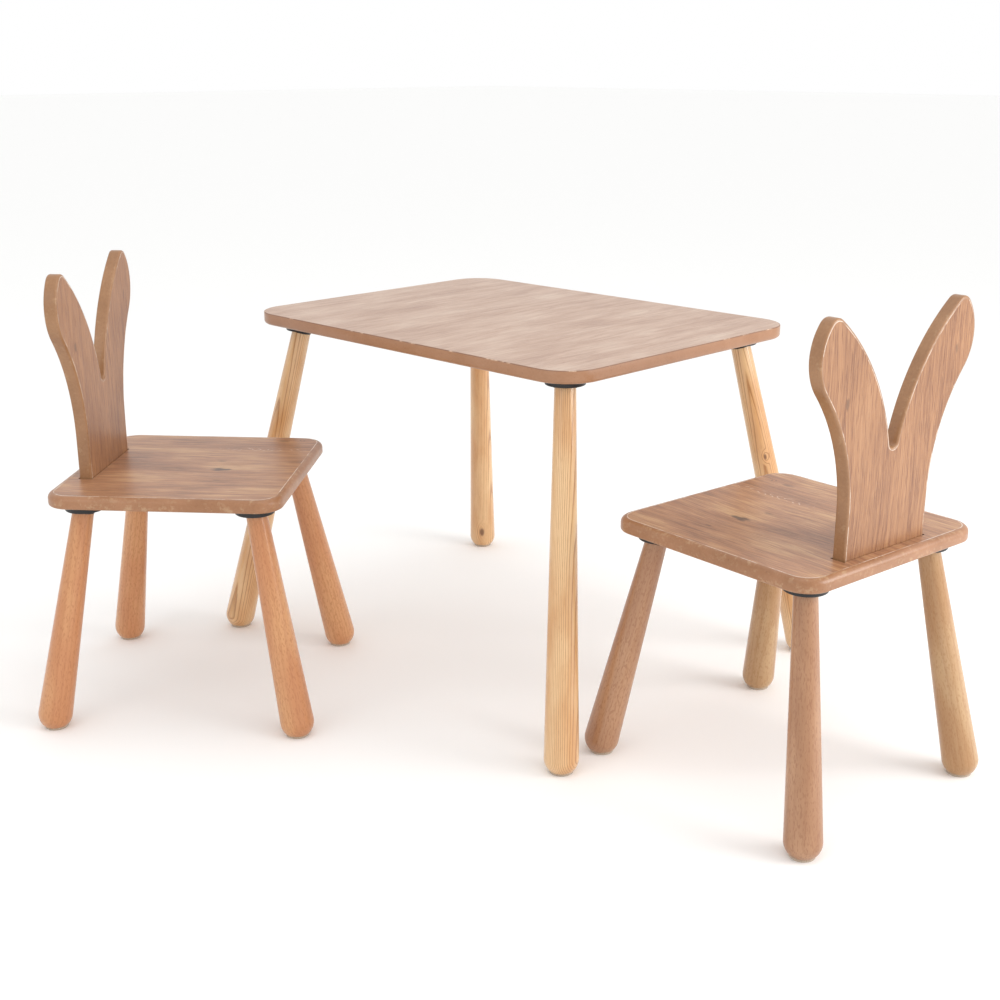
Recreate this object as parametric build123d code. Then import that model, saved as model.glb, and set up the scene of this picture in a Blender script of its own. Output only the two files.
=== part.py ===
from build123d import *
import os
from math import asin, atan2, cos, hypot, radians, sin, sqrt

# A child's table with two chairs. Millimetres, +Z up, floor at z = 0.
# The boards are 16 mm lacquered MDF, the legs are turned hardwood, and each leg screws
# into a round plastic plate under its board. The origin is the floor point under the
# middle of the whole set's footprint.

# Boards
boardThickness = 16.0
tableLength = 600.0
tableWidth = 450.0
tableHeight = 472.0
tableCorner = 50.0
tableTopArris = 1.0
tableBottomRound = 4.0
seatDepth = 290.0
seatWidth = 300.0
seatHeight = 306.0
seatCorner = 31.0
seatTopRound = 7.0
seatBottomRound = 3.0

# Where each leg's centre line meets the underside of its board, and how far the foot
# stands outside that point on the floor
tableLegX = 247.0
tableLegY = 172.0
tableSplayX = 79.0
tableSplayY = 85.5
chairLegX = 106.0
chairLegY = 107.0
chairSplayX = 52.0
chairSplayY = 40.0

# Turned legs and felt pads
legTopRadius = 13.0
legFootRadius = 21.0
legTopChamfer = 0.8
footCentreHeight = 18.0
padThickness = 3.0
padRadius = 14.5
padEdge = 0.6

# Plastic mounting plates
plateRadius = 26.0
plateLowerRadius = 24.2
plateThickness = 11.0
plateRimRound = 1.2
plateBossRadius = 13.6
plateBossLip = 0.5
plateScrewCircle = 18.9

# Hanger bolts (M8) and their flanged inserts
boltRadius = 4.0
boltInLeg = 32.0
boltTipChamfer = 1.0
insertRadius = 6.0
insertFlangeRadius = 7.5
insertFlange = 1.5
fitGap = 0.05
topGap = 0.3

# Wood screws, countersunk
plateScrewRadius = 1.75
plateScrewHead = 3.5
plateScrewLength = 22.0
backScrewRadius = 2.5
backScrewHead = 4.8
backScrewLength = 42.0
backScrewSpacing = 48.0
screwTipLength = 3.0
screwTipRadius = 0.3
recessReach = 1.1
recessWidth = 0.22
recessDepth = 0.9

# Backrest, a board cut to two rabbit ears that stands in a slot in the seat
backInset = 20.0
backSlotDepth = 8.0
backBaseHalf = 70.0
backRound = 2.6
waistStart = 50.0
earReach = 132.0
earWidestHeight = 219.0
earRadius = 57.0
earTipHeight = 261.0
earTipRadius = 14.0
earInnerRadius = 243.0
notchBottom = 112.0
notchRadius = 6.5
slotGap = 0.05
slotReliefRadius = 1.7
slotReliefInward = 0.6
slotReliefOutward = 0.2
tiny = 0.01

# Where the chairs stand about the table's centre, and which way they face
leftChairSpot = (-188.0, -405.0)
leftChairFacing = 40.3
rightChairSpot = (491.0, -52.0)
rightChairFacing = 174.0

legCorners = {
    "front_left": (1, 1),
    "front_right": (1, -1),
    "rear_left": (-1, 1),
    "rear_right": (-1, -1),
}


def legFrame(x, y, boardUnderside, splayX, splayY):
    """Plane on a leg's centre line at the board, with z up the leg and x towards its splay."""
    up = Vector(-splayX, -splayY, boardUnderside).normalized()
    across = Vector(splayX, splayY, 0)
    across = (across - up * across.dot(up)).normalized()
    return Plane(origin=(x, y, boardUnderside), x_dir=across, z_dir=up)


def legLean(splayX, splayY, boardUnderside):
    return atan2(hypot(splayX, splayY), boardUnderside)


def legTopDepth(lean):
    """Distance down the centre line from the board to the end of the leg."""
    return (plateThickness + plateBossLip + plateBossRadius * sin(lean)) / cos(lean)


def leg(frame, lean):
    start = legTopDepth(lean)
    ball = (frame.origin.Z - footCentreHeight) / cos(lean)
    run = ball - start
    taper = asin(legFootRadius / hypot(legTopRadius, run)) - atan2(legTopRadius, run)
    shoulder = (legFootRadius * cos(taper), legFootRadius * sin(taper) - ball)
    middle = (taper - radians(90)) / 2
    bend = (legFootRadius * cos(middle), legFootRadius * sin(middle) - ball)
    outline = [
        Line((0, -start), (legTopRadius - legTopChamfer, -start)),
        Line((legTopRadius - legTopChamfer, -start), (legTopRadius, -start - legTopChamfer)),
        Line((legTopRadius, -start - legTopChamfer), shoulder),
        ThreePointArc(shoulder, bend, (0, -ball - legFootRadius)),
        Line((0, -ball - legFootRadius), (0, -start)),
    ]
    turned = revolve(Plane.XZ * make_face(outline), Axis.Z)
    boltHole = Pos(0, 0, -start) * Cylinder(
        boltRadius + fitGap, boltInLeg + fitGap, align=(Align.CENTER, Align.CENTER, Align.MAX))
    placed = frame * (turned - boltHole)
    sawn = 20 * legFootRadius
    return placed - Pos(frame.origin.X, frame.origin.Y, padThickness) * Box(
        sawn, sawn, sawn, align=(Align.CENTER, Align.CENTER, Align.MAX))


def footPad(frame, lean):
    reach = (frame.origin.Z - footCentreHeight) / cos(lean)
    centre = frame.origin - frame.z_dir * reach
    disc = Pos(centre.X, centre.Y, 0) * Cylinder(
        padRadius, padThickness, align=(Align.CENTER, Align.CENTER, Align.MIN))
    return chamfer(disc.edges().group_by(Axis.Z)[0], padEdge)


def boltTop(lean):
    return -(topGap + boltRadius * sin(lean)) / cos(lean)


def hangerBolt(frame, lean):
    start = legTopDepth(lean)
    length = boltInLeg + start + boltTop(lean)
    rod = Pos(0, 0, boltTop(lean)) * Cylinder(
        boltRadius, length, align=(Align.CENTER, Align.CENTER, Align.MAX))
    ends = rod.edges().group_by(Axis.Z)
    return frame * chamfer([ends[0], ends[-1]], boltTipChamfer)


def insertTop(lean):
    return -(topGap + insertFlangeRadius * sin(lean)) / cos(lean)


def threadedInsert(frame, lean):
    top = insertTop(lean)
    length = legTopDepth(lean) + top - topGap
    body = Pos(0, 0, top) * Cylinder(
        insertRadius, length, align=(Align.CENTER, Align.CENTER, Align.MAX))
    flange = Pos(0, 0, top) * Cylinder(
        insertFlangeRadius, insertFlange, align=(Align.CENTER, Align.CENTER, Align.MAX))
    bore = Cylinder(boltRadius + fitGap, 4 * length)
    return frame * (body + flange - bore)


def screwSpots(frame):
    """The four plate screws sit on a circle, 45 degrees off the leg's splay."""
    splay = atan2(frame.x_dir.Y, frame.x_dir.X)
    spots = []
    for quarter in range(4):
        turn = splay + radians(45 + 90 * quarter)
        spots.append((frame.origin.X + plateScrewCircle * cos(turn),
                      frame.origin.Y + plateScrewCircle * sin(turn)))
    return spots


def countersunkScrew(shank, head, length, gap=0.0):
    """Points up from a head whose flat face is at z = 0."""
    sink = head - shank
    body = Cylinder(shank + gap, length - screwTipLength, align=(Align.CENTER, Align.CENTER, Align.MIN))
    tip = Pos(0, 0, length - screwTipLength) * Cone(
        shank + gap, screwTipRadius + gap, screwTipLength, align=(Align.CENTER, Align.CENTER, Align.MIN))
    cone = Cone(head + gap, shank + gap, sink, align=(Align.CENTER, Align.CENTER, Align.MIN))
    return body + tip + cone


def crossRecess(head):
    slot = Box(recessReach * head, recessWidth * head, recessDepth * head)
    return slot + Rot(0, 0, 90) * slot


def mountingPlate(frame, lean):
    x, y, z = frame.origin.X, frame.origin.Y, frame.origin.Z
    puck = Pos(x, y, z) * Cone(
        plateLowerRadius, plateRadius, plateThickness, align=(Align.CENTER, Align.CENTER, Align.MAX))
    puck = fillet(puck.edges().group_by(Axis.Z)[0], plateRimRound)
    boss = frame * (Pos(0, 0, -legTopDepth(lean)) * Cylinder(
        plateBossRadius, legTopDepth(lean), align=(Align.CENTER, Align.CENTER, Align.MIN)))
    insideBoard = Pos(x, y, z) * Box(
        4 * plateRadius, 4 * plateRadius, plateRadius, align=(Align.CENTER, Align.CENTER, Align.MIN))
    plate = puck + (boss - insideBoard)
    insertHole = frame * Cylinder(insertRadius + fitGap, 4 * plateThickness)
    flangePocket = frame * (Pos(0, 0, insertTop(lean) - insertFlange) * Cylinder(
        insertFlangeRadius + fitGap, plateThickness, align=(Align.CENTER, Align.CENTER, Align.MIN)))
    plate = plate - insertHole - flangePocket
    for sx, sy in screwSpots(frame):
        plate -= Pos(sx, sy, z - plateThickness) * countersunkScrew(
            plateScrewRadius, plateScrewHead, plateScrewLength, fitGap)
    return plate


def plateScrews(frame):
    screws = []
    recess = crossRecess(plateScrewHead)
    for sx, sy in screwSpots(frame):
        screw = countersunkScrew(plateScrewRadius, plateScrewHead, plateScrewLength) - recess
        screws.append(Pos(sx, sy, frame.origin.Z - plateThickness) * screw)
    return screws


def board(length, width, corner, top, softenTop, topSize, bottomRound):
    """A rounded board that hangs down from z = top, its top edge softened by a fillet or chamfer."""
    blank = extrude(RectangleRounded(length, width, corner), -boardThickness)
    blank = softenTop(blank.edges().group_by(Axis.Z)[-1], topSize)
    blank = fillet(blank.edges().group_by(Axis.Z)[0], bottomRound)
    return Pos(0, 0, top) * blank


def drillForPlates(blank, frames):
    for frame in frames:
        for sx, sy in screwSpots(frame):
            blank -= Pos(sx, sy, frame.origin.Z - plateThickness) * countersunkScrew(
                plateScrewRadius, plateScrewHead, plateScrewLength, fitGap)
    return blank


def backCentreX():
    return -seatDepth / 2 + backInset + boardThickness / 2


def backScrewSpots():
    return [(backCentreX(), step * backScrewSpacing) for step in (-1, 0, 1)]


def backScrewHoles():
    holes = []
    for x, y in backScrewSpots():
        holes.append(Pos(x, y, seatHeight - boardThickness) * countersunkScrew(
            backScrewRadius, backScrewHead, backScrewLength, fitGap))
    return holes


def seat(frames):
    blank = board(seatDepth, seatWidth, seatCorner, seatHeight, fillet, seatTopRound, seatBottomRound)
    slotFloor = seatHeight - backSlotDepth
    slotX = boardThickness / 2 + slotGap
    slotY = backBaseHalf + slotGap
    slot = Pos(backCentreX(), 0, slotFloor) * Box(
        2 * slotX, 2 * slotY, 2 * backSlotDepth, align=(Align.CENTER, Align.CENTER, Align.MIN))
    blank -= slot
    # the cutter leaves a small round relief at each corner of the slot
    for sideX in (-1, 1):
        for sideY in (-1, 1):
            corner = (backCentreX() + sideX * (slotX - slotReliefInward),
                      sideY * (slotY + slotReliefOutward), slotFloor)
            blank -= Pos(*corner) * Cylinder(
                slotReliefRadius, 2 * backSlotDepth, align=(Align.CENTER, Align.CENTER, Align.MIN))
    for hole in backScrewHoles():
        blank -= hole
    return drillForPlates(blank, frames)


def awayFrom(centre, towards, distance):
    """The point this far from a centre, in the direction of another point."""
    return centre + (towards - centre).normalized() * distance


def arcAbout(centre, radius, start, end):
    return ThreePointArc(start, awayFrom(centre, (start + end) * 0.5, radius), end)


def lowerMeeting(centreA, distanceA, centreB, distanceB):
    """The lower of the two points that lie at given distances from two centres."""
    gap = (centreB - centreA).length
    along = (gap ** 2 + distanceA ** 2 - distanceB ** 2) / (2 * gap)
    aside = sqrt(distanceA ** 2 - along ** 2)
    step = (centreB - centreA).normalized()
    foot = centreA + step * along
    across = Vector(-step.Y, step.X) * aside
    return min(foot + across, foot - across, key=lambda point: point.Y)


def backrestFace():
    """The ears' outline in tangent arcs, with y for height above the seat."""
    ear = Vector(earReach - earRadius, earWidestHeight)
    offset = earRadius - earTipRadius
    lift = earTipHeight - earTipRadius - earWidestHeight
    tip = ear + Vector(sqrt(offset ** 2 - lift ** 2), lift)
    drop = earWidestHeight - waistStart
    inset = backBaseHalf - ear.X
    waistRadius = (inset ** 2 + drop ** 2 - earRadius ** 2) / (2 * (earRadius - inset))
    waist = Vector(backBaseHalf + waistRadius, waistStart)
    notch = Vector(0, notchBottom + notchRadius)
    inner = lowerMeeting(tip, earInnerRadius - earTipRadius, notch, earInnerRadius + notchRadius)

    sideEnd = Vector(backBaseHalf, waistStart)
    waistEnd = awayFrom(waist, ear, waistRadius)
    earEnd = awayFrom(ear, tip, earRadius)
    tipEnd = awayFrom(inner, tip, earInnerRadius)
    innerEnd = awayFrom(inner, notch, earInnerRadius)
    right = [
        Line((backBaseHalf, -backSlotDepth), sideEnd),
        arcAbout(waist, waistRadius, sideEnd, waistEnd),
        arcAbout(ear, earRadius, waistEnd, earEnd),
        arcAbout(tip, earTipRadius, earEnd, tipEnd),
        arcAbout(inner, earInnerRadius, tipEnd, innerEnd),
    ]
    left = [mirror(piece, Plane.YZ) for piece in right]
    notchArc = ThreePointArc(innerEnd, (0, notchBottom), (-innerEnd.X, innerEnd.Y))
    foot = Line((-backBaseHalf, -backSlotDepth), (backBaseHalf, -backSlotDepth))
    return make_face(right + left + [notchArc, foot])


def backrest():
    blank = extrude(Plane.YZ * backrestFace(), boardThickness / 2, both=True)
    faceEdges = [edge for edge in blank.edges()
                 if edge.bounding_box().size.X < tiny and edge.bounding_box().max.Z > tiny - backSlotDepth]
    blank = Pos(backCentreX(), 0, seatHeight) * fillet(faceEdges, backRound)
    for hole in backScrewHoles():
        blank -= hole
    return blank


def backScrews():
    recess = crossRecess(backScrewHead)
    screw = countersunkScrew(backScrewRadius, backScrewHead, backScrewLength) - recess
    return [Pos(x, y, seatHeight - boardThickness) * screw for x, y in backScrewSpots()]


def standOn(frames, lean):
    """Legs, plates, pads and their fasteners for one board, by node name."""
    nodes = {}
    for name, frame in zip(legCorners, frames):
        nodes["leg_" + name] = [leg(frame, lean)]
        nodes["plate_" + name] = [mountingPlate(frame, lean)]
        nodes["foot_pad_" + name] = [footPad(frame, lean)]
    nodes["threaded_inserts"] = [threadedInsert(frame, lean) for frame in frames]
    nodes["hanger_bolts"] = [hangerBolt(frame, lean) for frame in frames]
    nodes["plate_screws"] = [screw for frame in frames for screw in plateScrews(frame)]
    return nodes


def framesFor(legX, legY, splayX, splayY, underside):
    frames = []
    for sideX, sideY in legCorners.values():
        frames.append(legFrame(sideX * legX, sideY * legY, underside, sideX * splayX, sideY * splayY))
    return frames


def table():
    underside = tableHeight - boardThickness
    lean = legLean(tableSplayX, tableSplayY, underside)
    frames = framesFor(tableLegX, tableLegY, tableSplayX, tableSplayY, underside)
    blank = board(tableLength, tableWidth, tableCorner, tableHeight, chamfer, tableTopArris, tableBottomRound)
    nodes = {"top": [drillForPlates(blank, frames)]}
    nodes.update(standOn(frames, lean))
    return nodes


def chair():
    """One chair about its own seat centre, facing +X."""
    underside = seatHeight - boardThickness
    lean = legLean(chairSplayX, chairSplayY, underside)
    frames = framesFor(chairLegX, chairLegY, chairSplayX, chairSplayY, underside)
    nodes = {
        "seat": [seat(frames)],
        "backrest": [backrest()],
        "backrest_screws": backScrews(),
    }
    nodes.update(standOn(frames, lean))
    return nodes


def wholeSet():
    """Every node in the set's own frame, whose origin is the middle of its footprint."""
    oneChair = chair()
    groups = [
        ("table", table(), Location()),
        ("chair_left", oneChair, Pos(*leftChairSpot) * Rot(0, 0, leftChairFacing)),
        ("chair_right", oneChair, Pos(*rightChairSpot) * Rot(0, 0, rightChairFacing)),
    ]
    nodes = {}
    for prefix, pieces, place in groups:
        for name, solids in pieces.items():
            nodes[prefix + "_" + name] = [place * solid for solid in solids]
    boxes = [solid.bounding_box() for solids in nodes.values() for solid in solids]
    middleX = (min(box.min.X for box in boxes) + max(box.max.X for box in boxes)) / 2
    middleY = (min(box.min.Y for box in boxes) + max(box.max.Y for box in boxes)) / 2
    print("table centre at", round(-middleX, 3), round(-middleY, 3))
    shift = Pos(-middleX, -middleY, 0)
    return {name: [shift * solid for solid in solids] for name, solids in nodes.items()}


os.makedirs("parts", exist_ok=True)
for node, solids in wholeSet().items():
    shape = solids[0] if len(solids) == 1 else Compound(solids)
    if not export_step(shape, f"parts/{node}.step"):
        print("not written:", node)
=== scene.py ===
from math import asin, atan2, cos, hypot, pi, radians, sin, sqrt

import bmesh
import bpy
from mathutils import Matrix, Vector


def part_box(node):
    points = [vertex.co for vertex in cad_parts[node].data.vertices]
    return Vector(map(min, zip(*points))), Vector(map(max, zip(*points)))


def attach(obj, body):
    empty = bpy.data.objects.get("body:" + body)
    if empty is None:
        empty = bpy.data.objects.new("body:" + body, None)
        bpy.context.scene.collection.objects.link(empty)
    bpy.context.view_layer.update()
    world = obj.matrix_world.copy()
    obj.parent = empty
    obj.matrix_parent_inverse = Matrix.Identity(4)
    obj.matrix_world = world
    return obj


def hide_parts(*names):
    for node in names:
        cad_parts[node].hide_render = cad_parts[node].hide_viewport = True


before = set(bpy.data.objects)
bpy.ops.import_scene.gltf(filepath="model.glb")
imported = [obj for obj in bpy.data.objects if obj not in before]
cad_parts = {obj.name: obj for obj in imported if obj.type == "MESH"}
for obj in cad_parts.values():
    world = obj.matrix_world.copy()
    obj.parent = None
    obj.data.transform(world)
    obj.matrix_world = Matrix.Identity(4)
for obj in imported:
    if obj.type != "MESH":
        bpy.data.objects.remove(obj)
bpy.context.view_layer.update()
scene = bpy.context.scene
mm = 0.001


def boxMiddle(node):
    low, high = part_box(node)
    return (low + high) / 2


def linear(colour):
    # sRGB hex to the linear colour a socket takes
    channels = [int(colour[i:i + 2], 16) / 255 for i in (1, 3, 5)]
    return tuple(c / 12.92 if c <= 0.04045 else ((c + 0.055) / 1.055) ** 2.4 for c in channels) + (1.0,)


def addNode(tree, kind, inputs=None, stops=None, **settings):
    # a node with its settings, its ramp stops, and its inputs as values or links
    node = tree.nodes.new(kind)
    for name, value in settings.items():
        setattr(node, name, value)
    if stops:
        ramp = node.color_ramp
        while len(ramp.elements) > 1:
            ramp.elements.remove(ramp.elements[-1])
        ramp.elements[0].position = stops[0][0]
        ramp.elements[0].color = linear(stops[0][1])
        for position, colour in stops[1:]:
            ramp.elements.new(position).color = linear(colour)
    for name, value in (inputs or {}).items():
        if isinstance(value, bpy.types.NodeSocket):
            tree.links.new(value, node.inputs[name])
        else:
            node.inputs[name].default_value = value
    return node


# The table stands in the middle of the view, which looks down a little from its near corner
camera = {
    "azimuth": radians(44.6),
    "elevation": radians(17.5),
    "lens": 50.5,
    "aside": -21.2 * mm,
    "lift": 199.6 * mm,
    "distance": 2056.3 * mm,
}
studio = {
    "floorSize": 60.0,
    "floorColour": "#fcfcfb",
    "skyStrength": 1.0,
    # turn about the table from the camera, height, distance, size across, watts
    "lamps": {
        "softboxRight": (66, 1.0, 2.2, 1.2, 26),
        "softboxLeft": (-42, 1.4, 2.5, 1.2, 4),
        "softboxTop": (10, 2.4, 0.6, 1.6, 7),
    },
}


def buildStudio():
    azimuth, elevation = camera["azimuth"], camera["elevation"]
    target = boxMiddle("table_top")
    target.z = 0
    back = Vector((sin(azimuth) * cos(elevation), -cos(azimuth) * cos(elevation), sin(elevation)))
    right = Vector((cos(azimuth), sin(azimuth), 0))
    up = back.cross(right)
    data = bpy.data.cameras.new("camera")
    data.lens = camera["lens"]
    data.clip_end = 100
    eye = bpy.data.objects.new("camera", data)
    spot = target + right * camera["aside"] + up * camera["lift"] + back * camera["distance"]
    eye.matrix_world = Matrix.Translation(spot) @ Matrix((right, up, back)).transposed().to_4x4()
    scene.collection.objects.link(eye)
    scene.camera = eye

    half = studio["floorSize"] / 2
    mesh = bpy.data.meshes.new("floor")
    mesh.from_pydata([(-half, -half, 0), (half, -half, 0), (half, half, 0), (-half, half, 0)],
                     [], [(0, 1, 2, 3)])
    # matt painted floor: plain, no gloss, so the shadows stay soft
    paint = bpy.data.materials.new("mattWhiteFloorPaint")
    paint.use_nodes = True
    shader = paint.node_tree.nodes["Principled BSDF"]
    shader.inputs["Base Color"].default_value = linear(studio["floorColour"])
    shader.inputs["Roughness"].default_value = 0.9
    shader.inputs["Specular IOR Level"].default_value = 0.2
    mesh.materials.append(paint)
    floor = bpy.data.objects.new("floor", mesh)
    scene.collection.objects.link(floor)

    world = bpy.data.worlds.new("paleRoom")
    scene.world = world
    world.use_nodes = True
    sky = world.node_tree.nodes["Background"]
    sky.inputs["Color"].default_value = (1, 1, 1, 1)
    sky.inputs["Strength"].default_value = studio["skyStrength"]

    aim = target + Vector((0, 0, 0.3))
    for name, (turn, height, distance, size, watts) in studio["lamps"].items():
        angle = azimuth + radians(turn)
        place = target + Vector((sin(angle) * distance, -cos(angle) * distance, height))
        light = bpy.data.lights.new(name, "AREA")
        light.size = size
        light.energy = watts
        lamp = bpy.data.objects.new(name, light)
        aimed = (place - aim).to_track_quat("Z", "Y").to_matrix().to_4x4()
        lamp.matrix_world = Matrix.Translation(place) @ aimed
        scene.collection.objects.link(lamp)
    scene.view_settings.view_transform = "Standard"
    scene.view_settings.look = "None"
    print("camera, floor and", len(studio["lamps"]), "softboxes set")


buildStudio()


def startMaterial(name):
    material = bpy.data.materials.new(name)
    material.use_nodes = True
    tree = material.node_tree
    return material, tree, tree.nodes["Principled BSDF"]


def grainNoise(tree, place, across, along, detail=2.0, roughness=0.5, warp=0.0):
    # noise whose lumps are this many millimetres across and along the grain
    stretched = addNode(tree, "ShaderNodeMapping", {
        "Vector": place,
        "Scale": (1000 / across, 1000 / across, 1000 / along),
    })
    noise = addNode(tree, "ShaderNodeTexNoise", {
        "Vector": stretched.outputs["Vector"],
        "Scale": 1.0, "Detail": detail, "Roughness": roughness, "Distortion": warp,
    })
    return noise


def share(tree, pattern, low, high, *factors, ends=(0.0, 1.0), ease="SMOOTHSTEP"):
    # how far a pattern has come from low to high, times any other shares
    value = addNode(tree, "ShaderNodeMapRange", {
        "Value": pattern, "From Min": low, "From Max": high, "To Min": ends[0], "To Max": ends[1],
    }, interpolation_type=ease).outputs["Result"]
    for factor in factors:
        value = addNode(tree, "ShaderNodeMath", {0: value, 1: factor}, operation="MULTIPLY").outputs[0]
    return value


def weigh(tree, *terms, start=0.0):
    # patterns or lengths added up, each with its own weight
    total = start
    for pattern, weight in terms:
        total = addNode(tree, "ShaderNodeMath", {
            0: pattern, 1: weight, 2: total,
        }, operation="MULTIPLY_ADD").outputs[0]
    return total


def paint(tree, colour, tone, pattern, low, high, *factors, ends=(0.0, 1.0)):
    # a second tone laid on where the pattern lies between two levels
    cover = share(tree, pattern, low, high, *factors, ends=ends)
    return addNode(tree, "ShaderNodeMix", {0: cover, 6: colour, 7: linear(tone)}, data_type="RGBA").outputs[2]


def wandering(tree, place, across, along, reach):
    # the place pushed about by slow noise, so that the grain wanders as it runs
    noise = grainNoise(tree, place, across, along).outputs["Color"]
    centred = addNode(tree, "ShaderNodeVectorMath", {
        0: noise, 1: (0.5, 0.5, 0.5),
    }, operation="SUBTRACT").outputs[0]
    return addNode(tree, "ShaderNodeVectorMath", {
        0: centred, 1: reach, 2: place,
    }, operation="MULTIPLY_ADD").outputs[0]


def fromSpot(tree, place, spot, scale):
    # distance from a spot in millimetres, counted in the knot's or dot's own reach
    moved = addNode(tree, "ShaderNodeMapping", {
        "Vector": place, "Location": tuple(-x * mm * k for x, k in zip(spot, scale)), "Scale": scale,
    }).outputs["Vector"]
    return addNode(tree, "ShaderNodeVectorMath", {0: moved}, operation="LENGTH").outputs["Value"]


def finishSurface(tree, shader, colour, gloss, relief, strength, depth):
    tree.links.new(colour, shader.inputs["Base Color"])
    tree.links.new(gloss, shader.inputs["Roughness"])
    bump = addNode(tree, "ShaderNodeBump", {"Height": relief, "Strength": strength, "Distance": depth})
    tree.links.new(bump.outputs[0], shader.inputs["Normal"])


# Printed oak decor: paper printed with a scanned board, pressed onto MDF under melamine resin.
# The eye gets streaks that never open into real pores, a faint pressed grain, and a dull satin sheen.
decors = {
    "washedOakDecor": {
        "dark": "#98735e", "mid": "#af8d77", "light": "#be9f8a", "pale": "#c9b19d",
        "streak": 7.0, "streakLength": 120.0, "contrast": 0.95,
        "growth": 0.2, "pores": 0.55, "limed": 0.5, "dashes": 0.35,
        "knots": [], "dots": [], "flecks": [],
        "roughness": 0.42, "coat": 0.12,
    },
    "smokedOakDecor": {
        "dark": "#7f5436", "mid": "#a16f4f", "light": "#b1805a", "pale": "#c59b71",
        "streak": 8.0, "streakLength": 110.0, "contrast": 1.35,
        "growth": 0.4, "pores": 0.6, "limed": 0.5, "dashes": 0.35,
        # place across and along the grain, reach, darkness
        "knots": [(-18.0, 41.0, 15.0, 0.9), (22.0, 33.0, 8.0, 0.45),
                  (-64.0, 48.0, 5.0, 0.55), (126.0, 92.0, 9.0, 0.5)],
        "dots": [(130.5, 113.0, 1.5), (129.0, 118.5, 1.5)],
        "flecks": [(81.0, 76.0, 66.0)],
        "roughness": 0.4, "coat": 0.15,
    },
    "straightOakDecor": {
        "dark": "#74462c", "mid": "#926442", "light": "#a2724c", "pale": "#b1835c",
        "streak": 3.2, "streakLength": 150.0, "contrast": 0.95,
        "growth": 0.1, "pores": 0.8, "limed": 0.2, "dashes": 0.6,
        "knots": [(-84.0, 170.0, 7.0, 0.5), (100.0, 205.0, 6.0, 0.4)], "dots": [], "flecks": [],
        "roughness": 0.42, "coat": 0.12,
    },
}


# how much each size of streak adds to the figure, and where the sum is centred
figure = {"broad": 0.45, "middle": 0.55, "fine": 1.2, "cloud": 0.6, "centre": -1.4, "level": 0.52}
darkHeart, dotInk, rayTone = "#4a3226", "#3a261b", "#e8d6c4"


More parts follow.
